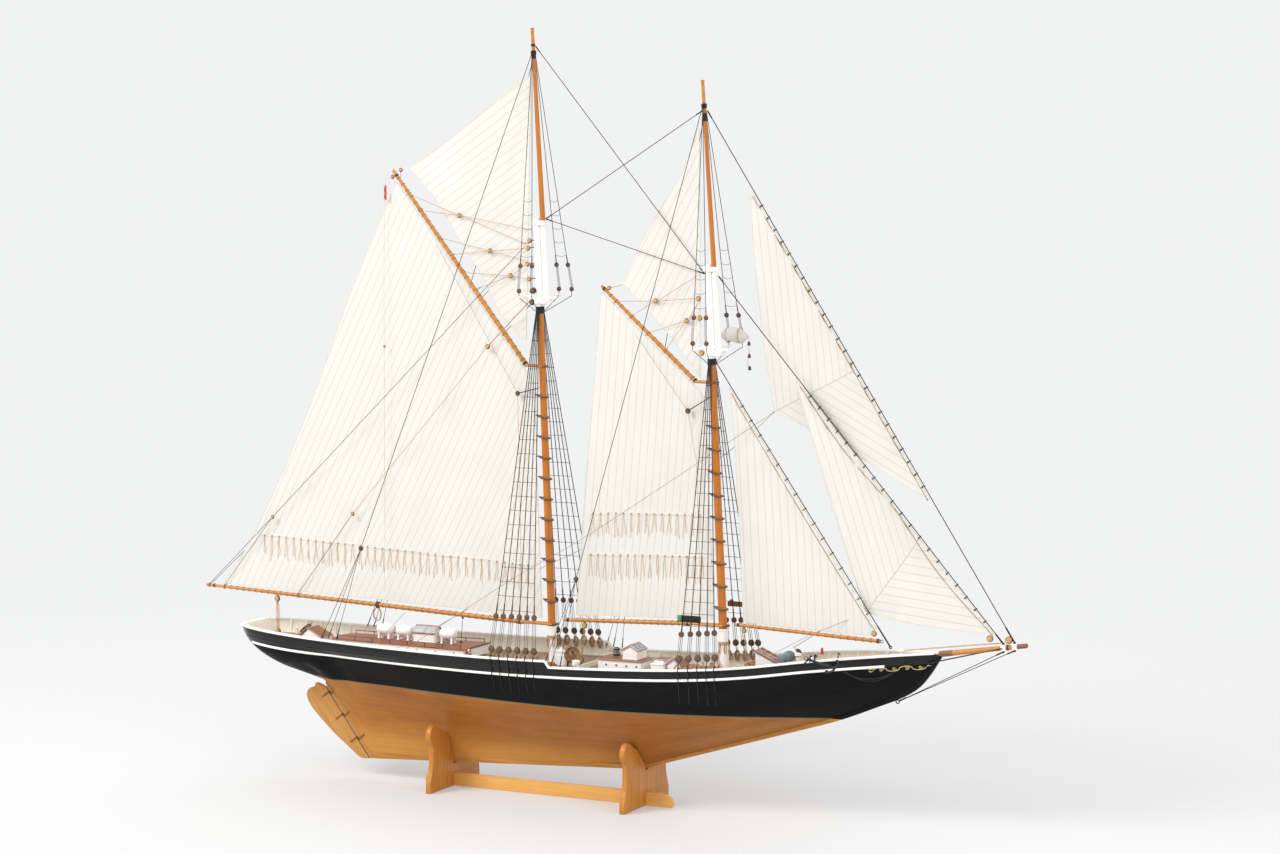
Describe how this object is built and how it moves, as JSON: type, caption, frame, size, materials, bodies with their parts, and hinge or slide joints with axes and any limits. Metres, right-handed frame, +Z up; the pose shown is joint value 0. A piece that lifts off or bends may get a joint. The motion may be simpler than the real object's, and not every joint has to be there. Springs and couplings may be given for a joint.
{
  "type": "model sailing ship",
  "caption": "Wooden display model of a gaff-rigged topsail schooner with set sails, standing rigging and deck fittings, resting in a two-cradle stand.",
  "frame": {"origin": "on the floor, on the underside of the stand centre board, below mid hull", "axes": "+X to the bow, +Y to port, +Z up"},
  "size_m": [0.8225, 0.1304, 0.6914],
  "materials": {
    "stand_wood": "satin varnish",
    "hull_paint": "black paint above, varnished planks below",
    "keel_wood": "satin varnish",
    "frame_wood": "bare plywood",
    "deck_wood": "satin varnish",
    "rail_paint": "satin white paint",
    "rudder_brass": "dull brass",
    "rudder_wood": "satin varnish",
    "wheel_wood": "varnished",
    "cabin_paint": "satin white paint",
    "roof_wood": "varnished mahogany",
    "tank_paint": "gloss white paint",
    "windlass_paint": "grey-blue paint",
    "anchor_iron": "black paint",
    "spar_wood": "satin varnish",
    "mast_paint": "satin white paint",
    "sailcloth": "plain weave with stitched seams",
    "tarred_cord": "dark waxed cord",
    "tan_cord": "natural cord"
  },
  "bodies": {
    "stand": {"stand_centre_board": "stand_wood", "stand_aft_cradle": "stand_wood", "stand_fore_cradle": "stand_wood"},
    "hull": {"hull_planking": "hull_paint", "keel_and_stem": "keel_wood", "bulkhead_1": "frame_wood", "bulkhead_2": "frame_wood", "bulkhead_3": "frame_wood", "centre_plate": "frame_wood", "quarter_deck": "deck_wood", "main_deck": "deck_wood", "cap_rail": "rail_paint", "gudgeon_1": "rudder_brass", "gudgeon_2": "rudder_brass", "gudgeon_3": "rudder_brass", "trunk_walls": "cabin_paint", "trunk_roof": "roof_wood", "deck_tank_1": "tank_paint", "deck_tank_2": "tank_paint", "deck_tank_3": "tank_paint", "trunk_skylight": "cabin_paint", "wheel_box": "cabin_paint", "deck_house": "cabin_paint", "house_skylight": "cabin_paint", "fish_hatch": "cabin_paint", "fore_companion": "roof_wood", "windlass": "windlass_paint", "anchor": "anchor_iron", "main_lower_mast": "spar_wood", "main_topmast": "spar_wood", "fore_lower_mast": "spar_wood", "fore_topmast": "spar_wood", "main_mast_cap": "mast_paint", "fore_mast_cap": "mast_paint", "main_crosstrees": "mast_paint", "fore_crosstrees": "mast_paint", "bowsprit": "spar_wood", "jib": "sailcloth", "jib_topsail": "sailcloth", "main_shrouds": "tarred_cord", "fore_shrouds": "tarred_cord", "main_topmast_rigging": "tarred_cord", "fore_topmast_rigging": "tarred_cord", "forestay": "tarred_cord", "head_stays": "tarred_cord", "mast_stays": "tarred_cord"},
    "rudder_body": {"rudder": "rudder_wood"},
    "wheel_body": {"steering_wheel": "wheel_wood"},
    "main_rig": {"main_boom": "spar_wood", "main_gaff": "spar_wood", "mainsail": "sailcloth", "main_topsail": "sailcloth", "main_halyard_and_lift": "tan_cord"},
    "fore_rig": {"fore_boom": "spar_wood", "fore_gaff": "spar_wood", "foresail": "sailcloth", "fore_topsail": "sailcloth", "fore_halyard": "tan_cord"},
    "staysail_rig": {"staysail_boom": "spar_wood", "staysail": "sailcloth"}
  },
  "joints": [
    {"name": "hull_lift", "type": "slide", "parent": "stand", "child": "hull", "axis": [0, 0, 1], "range_m": [0, 0.07]},
    {"name": "rudder_swing", "type": "hinge", "parent": "hull", "child": "rudder_body", "pos_m": [-0.24624, 0, 0.05558], "axis": [-0.5944, 0, 0.8042], "range_deg": [-30, 30]},
    {"name": "wheel_turn", "type": "hinge", "parent": "hull", "child": "wheel_body", "pos_m": [-0.289, 0, 0.1353], "axis": [0.6884, 0, -0.7254], "continuous": true},
    {"name": "main_rig_swing", "type": "hinge", "parent": "hull", "child": "main_rig", "pos_m": [-0.02543, 0, 0.157], "axis": [-0.0393, 0, 0.9992], "range_deg": [-7, 7]},
    {"name": "fore_rig_swing", "type": "hinge", "parent": "hull", "child": "fore_rig", "pos_m": [0.14399, 0, 0.166], "axis": [-0.0474, 0, 0.9989], "range_deg": [-8, 0]},
    {"name": "staysail_swing", "type": "hinge", "parent": "hull", "child": "staysail_rig", "pos_m": [0.29229, 0, 0.17], "axis": [-0.5648, 0, 0.8252], "range_deg": [-8, 8]}
  ]
}
